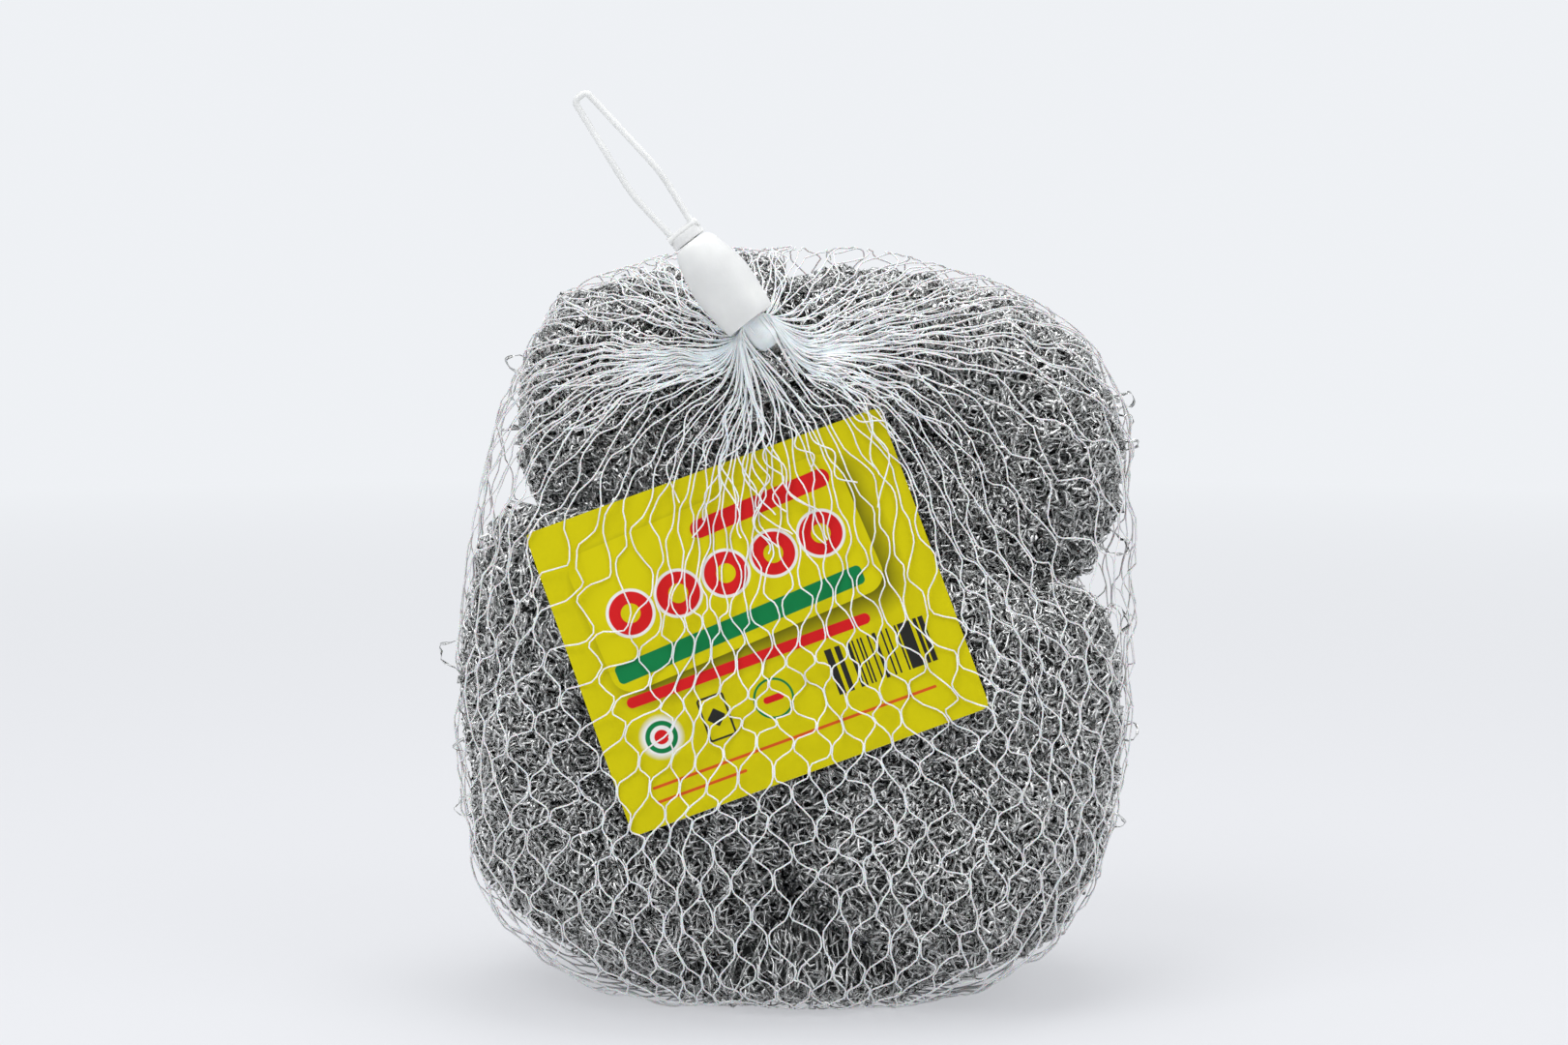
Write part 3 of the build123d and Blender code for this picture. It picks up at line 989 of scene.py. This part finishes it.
    def core(self, finish: Material) -> Object:
        """The inner mass that shows between the loops, dressed in painted shade for the dim far wire.

        Args:
            finish: Its material.

        Returns:
            The core, which stands for the scrubber's solid.
        """
        rings, around = self.core_grid
        tilt = math.pi * (np.arange(1, rings) / rings)[:, None]
        turn = TURN * (np.arange(around) / around)[None, :]
        ways = directions(tilt, turn)
        points = self.surface.points(ways, self.core_inset)
        points = self.card.held(points - ways * self.inset(points)[..., None], self.core_gap, in_front=False)
        level = np.ones_like(tilt * turn)
        marks = np.stack([level * turn / TURN, level * tilt / math.pi], -1)
        return place(f"{self.node}_core", grid_mesh(f"{self.node}_core", points, marks), finish)

    def stray_loops(self, finish: Material) -> Object:
        """Loose loops of wire that stand out of the knitting.

        Args:
            finish: The wire's material.

        Returns:
            The loops as one piece.
        """
        draw = np.random.default_rng(self.seed * 100 + 3)
        share = np.linspace(0.0, 1.0, self.stray_points)[None, :]
        small, large = self.strays, len(self.loose)
        chosen = np.array(self.loose, float).reshape(-1, 3)
        ways = unit(np.concatenate([draw.normal(size=(small, 3)), chosen]))
        aside = unit(np.cross(ways, draw.normal(size=(small + large, 3))))

        def sizes(strays: tuple[float, float], loose: tuple[float, float]) -> np.ndarray:
            """Draws a size for each stray loop and then for each loose one."""
            return np.concatenate([draw.uniform(*strays, small), draw.uniform(*loose, large)])[:, None]

        span = sizes(self.stray_span, self.loose_span)
        rise = sizes(self.stray_rise, self.loose_rise)
        swing = (span * np.cos(math.pi * share))[..., None]
        path_ways = unit(ways[:, None] + aside[:, None] * swing)
        lift = rise * np.sin(math.pi * share) ** 0.8 - self.stray_root
        path = self.surface.points(path_ways, -lift)
        path = path + self.stray_tangle * WaveNoise(self.seed + 51, self.stray_wave).vectors(path)
        path = self.card.held(path, self.wire_width / 2, in_front=False)
        mesh = StrandMesh()
        mesh.add(path, self.twisted(path, self.seed + 60, self.stray_twist), self.section())
        return mesh.build(f"{self.node}_stray_loops", finish)

    def build(
        self,
        frame: dict,
        room: BVHTree,
        card: LabelCard,
        wire: Material,
        deep: Material,
    ) -> None:
        """Builds and dresses the whole scrubber.

        Args:
            room: The taut form of the net, which the scrubber stays inside.
            card: The label card, which the scrubber stays behind.
            wire: The finish of the knitted wire.
            deep: The finish of the core, painted shade for the dim inside.
        """
        self.card = card
        low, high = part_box(self.node)
        tree = face_tree(frame["nodes"][self.node])
        self.surface = RadialSurface(tree, np.array((low + high) / 2), passes=5)
        self.surface.fill_out(room, self.squareness, self.net_gap)
        core = self.core(deep)
        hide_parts(self.node)
        pieces = [core, self.stray_loops(wire)]
        pieces += [self.knit(skin, number, wire) for number, skin in enumerate(self.skins)]
        for piece in pieces:
            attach(piece, Body.PACK.value)
        LOG.info("%s: %d pieces", self.node, len(pieces))


@dataclass
class HangingClip:
    """The milky clip: barrel sleeve, barbed plug and hanging loop, all as the frame has them."""

    tilt: float = math.radians(37.5)
    back: float = math.radians(6.0)
    nodes: tuple[str, ...] = ("clip_sleeve", "clip_plug", "hang_loop")

    def way(self) -> np.ndarray:
        """The direction in which the clip points at rest."""
        return np.array(
            [
                -math.sin(self.tilt) * math.cos(self.back),
                math.sin(self.back),
                math.cos(self.tilt) * math.cos(self.back),
            ]
        )

    def build(self, frame: dict, finish: Material) -> None:
        """Gives the clip's own solids their finish.

        Args:
            finish: The clip's material.
        """
        for node in self.nodes:
            part = frame["nodes"][node]
            part.data.materials.clear()
            part.data.materials.append(finish)
            LOG.info("%s: finished", node)


@dataclass
class NetBag:
    """The knitted net: zigzag strands that meet in pairs, drawn together at the neck."""

    gather: np.ndarray
    clip_way: np.ndarray
    card: LabelCard
    strands: int = 104
    rows: int = 26
    long_rows: float = 0.6
    narrowed: float = 0.3
    strand_radius: float = 0.2 * MM
    joint_share: float = 0.17
    middle_height: float = 80.0 * MM
    foot_share: float = 0.035
    neck_share: float = 0.952
    clump: float = 0.78
    wander: float = 1.7 * MM
    wander_wave: float = 24.0 * MM
    shiver: float = 0.3 * MM
    shiver_wave: float = 9.0 * MM
    most_lift: float = 0.4 * MM
    girth: float = 75.0 * MM
    end_girth: float = 4.0 * MM
    section_corners: int = 5
    bunches: tuple[tuple[float, float, float], ...] = ((5.0, 0.040, 0.7), (9.0, 0.020, 2.1))
    knot_radius: float = 3.3 * MM
    knot_strands: int = 60
    knot_rise: tuple[float, float] = (-1.0, 1.9)
    mouth_height: float = 4.2 * MM
    tail_strands: int = 44
    tail_radius: float = 3.0 * MM
    tail_length: float = 12.0 * MM
    gather_lean: float = math.radians(32.0)
    folds: int = 96
    fold_sway: float = 0.34
    fold_lift: tuple[float, float] = (0.1 * MM, 0.9 * MM)
    fold_rise: tuple[float, float] = (0.79, 0.895)
    fold_shiver: float = 0.4 * MM
    neck_clear: float = 16.0 * MM
    surface: RadialSurface | None = field(default=None, repr=False)

    def ways(self, turn: np.ndarray, rise: np.ndarray) -> np.ndarray:
        """Directions from the middle of the pack for a turn round it and a rise from foot to neck.

        Args:
            turn: Angles round the pack.
            rise: Shares from 0 at the foot to 1 at the neck.

        Returns:
            Unit vectors.
        """
        tilt = math.pi * rise
        upright = directions(tilt, turn) * np.array([1.0, 1.0, -1.0])
        axis = unit(self.gather - self.surface.centre)
        hinge = np.cross([0.0, 0.0, 1.0], axis)
        lean = math.asin(float(np.linalg.norm(hinge))) * ease(rise)[..., None]
        hinge = unit(hinge)
        along = (upright @ hinge)[..., None] * hinge
        return along + (upright - along) * np.cos(lean) + np.cross(hinge, upright) * np.sin(lean)

    def paths(self) -> np.ndarray:
        """Every strand's points from the foot to the neck, of shape (strands, points, 3)."""
        steps = np.array([0.0, 0.15, 0.31, 0.5, 0.69, 0.85])
        row = np.repeat(np.arange(self.rows), len(steps))
        part = np.tile(steps, self.rows)
        place_in_row = row + part
        swing = np.cos(math.pi * np.clip((part - self.joint_share) / (1 - 2 * self.joint_share), 0.0, 1.0))
        number = np.arange(self.strands)[:, None]
        side = np.where((number + row[None, :]) % 2 == 0, 1.0, -1.0) * swing[None, :]
        starts = np.arange(self.rows + 1) / self.rows
        lengths = 1.0 + self.long_rows * ease((starts[:-1] - 0.5) / 0.35)
        levels = np.concatenate([[0.0], np.cumsum(lengths) / lengths.sum()])
        up = np.interp(place_in_row / self.rows, starts, levels)
        rise = self.foot_share + (self.neck_share - self.foot_share) * up
        side = side * (1.0 - self.narrowed * ease((rise - 0.6) / 0.2))[None, :]
        rise = np.broadcast_to(rise[None, :], side.shape)
        pitch = TURN / self.strands
        local = self.girth * np.sin(math.pi * rise) + self.end_girth
        apart = np.minimum(self.strand_radius / local, 0.45 * pitch)
        turn = self.bunched((number + 0.5) * pitch + side * (0.5 * pitch - apart), rise)
        ways = self.ways(turn, rise)
        path = self.surface.points(ways, self.strand_radius)
        drift = self.wander * np.sin(math.pi * rise)[..., None] * WaveNoise(5, self.wander_wave).vectors(path)
        small = self.shiver * WaveNoise(6, self.shiver_wave).vectors(path)
        moved = path + drift + small
        ways = unit(moved - self.surface.centre)
        away = np.linalg.norm(moved - self.surface.centre, axis=-1)
        reach = np.minimum(away, self.surface.reach(ways) + self.most_lift)
        path = self.surface.centre + ways * reach[..., None]
        return self.card.held(path, self.strand_radius, in_front=True)

    def bunched(self, turn: np.ndarray, rise: np.ndarray) -> np.ndarray:
        """Angles drawn together in bunches, and near the neck to the left and the right.

        Args:
            turn: Angles round the pack.
            rise: Shares from 0 at the foot to 1 at the neck.

        Returns:
            The new angles.
        """
        for waves, size, start in self.bunches:
            turn = turn + size * np.sin(waves * turn + start)
        return turn - self.clump * ease((rise - 0.66) / 0.3) * np.sin(2 * turn) / 2

    def fold_paths(self) -> np.ndarray:
        """Strands of the net's folds, which lie over the others and cross them near the neck."""
        draw = np.random.default_rng(21)
        share = np.linspace(0.0, 1.0, 26)[None, :]
        start = draw.uniform(*self.fold_rise, (self.folds, 1))
        rise = start + (self.neck_share - start) * share
        sway = draw.uniform(-self.fold_sway, self.fold_sway, (self.folds, 1))
        turn = draw.uniform(0.0, TURN, (self.folds, 1)) + sway * share
        turn = turn + 0.035 * np.sin(draw.uniform(0.0, TURN, (self.folds, 1)) + 14.0 * share)
        path = self.surface.points(self.ways(self.bunched(turn, rise), rise), self.strand_radius)
        lift = draw.uniform(*self.fold_lift, (self.folds, 1)) * np.sin(math.pi * share)
        path = path + unit(path - self.surface.centre) * lift[..., None]
        path = path + self.fold_shiver * WaveNoise(7, self.shiver_wave).vectors(path)
        return self.card.held(path, self.strand_radius, in_front=True)

    def drawn_in(self, path: np.ndarray) -> np.ndarray:
        """Adds each strand's last stretch, which turns up into the clip.

        Args:
            path: Every strand's points, up to the neck.

        Returns:
            The points with the last stretch added.
        """
        last = path[:, -1]
        along = unit(path[:, -1] - path[:, -4])
        away = last - self.gather
        aside = unit(away - (away @ self.clip_way)[:, None] * self.clip_way)
        spread = self.knot_radius * np.random.default_rng(8).uniform(0.72, 1.0, (len(path), 1))
        end = self.gather + spread * aside + self.mouth_height * self.clip_way
        reach = np.linalg.norm(end - last, axis=-1, keepdims=True)
        first, second = last + along * reach * 0.4, end - self.clip_way * 1.6 * MM + aside * 2.8 * MM
        share = np.linspace(0.0, 1.0, 11)[1:, None, None]
        curve = (
            (1 - share) ** 3 * last
            + 3 * (1 - share) ** 2 * share * first
            + 3 * (1 - share) * share**2 * second
            + share**3 * end
        )
        return np.concatenate([path, curve.transpose(1, 0, 2)], axis=1)

    def knot(self, finish: Material) -> Object:
        """The pinched strands on which the clip swings.

        Args:
            finish: The net's material.

        Returns:
            The pinch as one piece.
        """
        around = self.knot_strands
        rise = np.linspace(*self.knot_rise, 15)[None, :, None]
        frame = pole_frame(self.clip_way)
        turn = (TURN * np.arange(around) / around)[:, None, None] + 0.35 * rise
        outward = np.cos(turn) * frame[0] + np.sin(turn) * frame[1]
        waist = 0.9 * self.knot_radius * np.sqrt(np.clip(1.0 - (0.86 * np.minimum(rise, 0.0)) ** 2, 0.0, 1.0))
        path = self.gather + outward * waist + rise * self.knot_radius * self.clip_way
        mesh = StrandMesh()
        mesh.add(path, outward, round_section(self.strand_radius, self.section_corners))
        return mesh.build("net_pinch", finish)

    def tail(self, finish: Material) -> Object:
        """The strands' ends, which run up inside the sleeve.

        Args:
            finish: The net's material.

        Returns:
            The ends as one piece.
        """
        number = np.arange(self.tail_strands)
        spread = self.tail_radius * np.sqrt((number + 0.5) / self.tail_strands)[:, None, None]
        turn = (GOLDEN_TURN * number)[:, None, None]
        rise = np.linspace(0.15, 1.0, 8)[None, :, None]
        frame = pole_frame(self.clip_way)
        outward = np.cos(turn) * frame[0] + np.sin(turn) * frame[1]
        path = self.gather + outward * spread * (0.8 + 0.2 * rise) + rise * self.tail_length * self.clip_way
        mesh = StrandMesh()
        across = np.broadcast_to(outward, path.shape)
        mesh.add(path, across, round_section(self.strand_radius, self.section_corners))
        return mesh.build("net_tail_strands", finish)

    def build(self, frame: dict, finish: Material) -> BVHTree:
        """Builds and dresses the net.

        Args:
            finish: The net's material.

        Returns:
            The taut form that the net is pulled over.
        """
        middle = np.array([0.0, 0.0, self.middle_height])
        taut = taut_tree(frame["nodes"]["net_bag"], self.gather, self.neck_clear)
        self.surface = RadialSurface(taut, middle, passes=1, rows=96)
        path, folds = self.drawn_in(self.paths()), self.drawn_in(self.fold_paths())
        half = self.strands // 2
        parts = {"net_strands_rear": path[:half], "net_strands_front": path[half:], "net_fold_strands": folds}
        made = []
        for name, chosen in parts.items():
            mesh = StrandMesh()
            mesh.add(chosen, unit(chosen - middle), round_section(self.strand_radius, self.section_corners))
            made.append(mesh.build(name, finish))
            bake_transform(made[-1])
        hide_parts("net_bag")
        pinch, tail = self.knot(finish), self.tail(finish)
        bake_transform(pinch)
        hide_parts("net_neck")
        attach(tail, Body.CLIP.value)
        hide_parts("net_tail")
        for piece in (*made, pinch, tail):
            LOG.info("%s: %d faces", piece.name, len(piece.data.polygons))
        return taut


@dataclass
class Studio:
    """Pale floor, soft lamps, a white surround and the photo's camera."""

    focal: float = 100.0
    distance: float = 1.058
    elevation: float = math.radians(6.5)
    target: tuple[float, float, float] = (-0.0028, 0.0, 0.11324)
    floor_half: float = 6.0
    floor_glow: float = 0.6
    # Painted shade: the darker glow colour seen on the floor near the pack.
    painted_shade_floor_tone: tuple[float, float, float] = (0.765, 0.775, 0.81)
    shadow_reach: float = 0.3
    floor_fade: float = 1.2
    surround: tuple[float, float, float] = (0.86, 0.88, 0.91)
    soft_light: tuple[float, float, float] = (0.95, 0.97, 1.0)
    soft_strength: float = 0.5
    floor_paint: tuple[float, float, float] = (0.80, 0.81, 0.83)
    floor_roughness: float = 0.7
    lamp_aim: tuple[float, float, float] = (0.0, 0.0, 0.09)
    lamps: tuple[tuple[str, tuple[float, float, float], float, float], ...] = (
        ("key_lamp", (-0.6, -0.7, 1.3), 0.9, 9.0),
        ("fill_lamp", (0.85, -0.6, 0.95), 0.8, 3.4),
        ("top_lamp", (0.05, 0.15, 1.35), 0.7, 8.0),
    )

    @staticmethod
    def aimed(name: str, data: bpy.types.ID, where: Vector, way: Vector) -> Object:
        """Links a camera or a lamp into the scene at a place, facing a way."""
        made = bpy.data.objects.new(name, data)
        bpy.context.scene.collection.objects.link(made)
        made.location = where
        made.rotation_mode = "QUATERNION"
        made.rotation_quaternion = way.to_track_quat("-Z", "Y")
        return made

    def camera(self) -> None:
        """Sets the camera where the photo was taken from."""
        data = bpy.data.cameras.new("camera")
        data.lens = self.focal
        data.sensor_width = 36.0
        back = Vector((0.0, -math.cos(self.elevation), math.sin(self.elevation)))
        where = Vector(self.target) + back * self.distance
        bpy.context.scene.camera = self.aimed("camera", data, where, -back)

    def lamp(self, name: str, place_at: tuple[float, float, float], size: float, power: float) -> None:
        """Hangs a square soft lamp that faces the pack.

        Args:
            name: The lamp's name.
            place_at: Where it hangs.
            size: The length of its side.
            power: Its power in watts.
        """
        data = bpy.data.lights.new(name, "AREA")
        data.size, data.energy = size, power
        self.aimed(name, data, Vector(place_at), Vector(self.lamp_aim) - Vector(place_at))

    def seen(self, board: NodeBoard) -> Socket:
        """1 where the camera, a reflection or a look through glass meets the surface, else 0."""
        path = board.node("LightPath")
        total = path.outputs["Is Camera Ray"]
        for name in ("Is Glossy Ray", "Is Transmission Ray"):
            total = board.math("ADD", total, path.outputs[name], held=True)
        return total

    def world(self) -> None:
        """Gives the surround a soft even light, and a pale colour where it is seen."""
        world = bpy.data.worlds.new("surround")
        bpy.context.scene.world = world
        board = NodeBoard(world)
        light = board.tree.nodes["Background"]
        board.feed(light.inputs["Color"], self.soft_light)
        board.feed(light.inputs["Strength"], self.soft_strength)
        shown = board.node("Background", {"Color": self.surround})
        board.show(self.seen(board), light, shown, "World Output")

    def floor(self) -> None:
        """Lays a pale floor that keeps the pack's soft shadow, with painted shade: its seen glow is darker
        near the pack and fades to the surround further out.
        """
        mesh = bpy.data.meshes.new("floor")
        half = self.floor_half
        corners = [(-half, -half, 0), (half, -half, 0), (half, half, 0), (-half, half, 0)]
        mesh.from_pydata(corners, [], [(0, 1, 2, 3)])
        board = NodeBoard(bpy.data.materials.new("floor"))
        board.set(Base_Color=self.floor_paint, Roughness=self.floor_roughness)
        away = board.length(board.place())
        even = board.spread(away, self.shadow_reach, self.floor_fade, 0.0, 1.0)
        # Painted shade: the seen glow is the darker floor tone near the pack, fading to the surround colour.
        glow = board.node("Emission", {"Color": board.mix(even, self.painted_shade_floor_tone, self.surround)})
        share = board.math("MULTIPLY", self.seen(board), board.spread(even, 0.0, 1.0, self.floor_glow, 1.0))
        board.show(share, board.shader, glow, "Material Output")
        place("floor", mesh, board.owner)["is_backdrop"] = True

    def build(self) -> None:
        """Sets up the whole studio."""
        self.camera()
        self.world()
        self.floor()
        for name, place_at, size, power in self.lamps:
            self.lamp(name, place_at, size, power)
        bpy.context.scene.view_settings.view_transform = "Standard"


def main() -> None:
    """Builds the looks of the whole pack round its frame."""
    logging.basicConfig(level=logging.INFO, format="%(name)s: %(message)s")
    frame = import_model()
    Studio().build()
    # The core finish is painted shade for the dim inside of each scrubber.
    wire, deep, net = GalvanisedWire().build(), PaintedShadeWire().build(), NetPlastic().build()
    clip = HangingClip()
    clip.build(frame, ClipPlastic().build())
    low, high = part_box("net_neck")
    card = LabelCard()
    room = NetBag(np.array((low + high) / 2), clip.way(), card).build(frame, net)
    card.build(PrintedCard())
    scrubbers = (
        Scrubber("upper_left_scrubber", 11, ((-1.0, -0.15, -0.1), (-0.9, -0.3, 0.35))),
        Scrubber(
            "upper_right_scrubber",
            12,
            ((1.0, -0.1, 0.1), (1.0, -0.25, 0.0), (0.95, 0.1, 0.2), (0.9, -0.1, -0.55)),
        ),
        Scrubber("lower_left_scrubber", 13, ((-1.0, -0.1, 0.45), (-1.0, -0.2, -0.05), (-0.95, -0.1, -0.4))),
        Scrubber("lower_right_scrubber", 14, ((0.95, -0.1, 0.8), (1.0, -0.2, 0.2), (1.0, -0.1, -0.35))),
        Scrubber("bottom_scrubber", 15, ((0.9, 0.4, -0.1),), lump=0.8 * MM, squareness=0.4),
    )
    for scrubber in scrubbers:
        scrubber.build(frame, room, card, wire, deep)
    low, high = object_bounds()


if __name__ == "__main__":
    main()
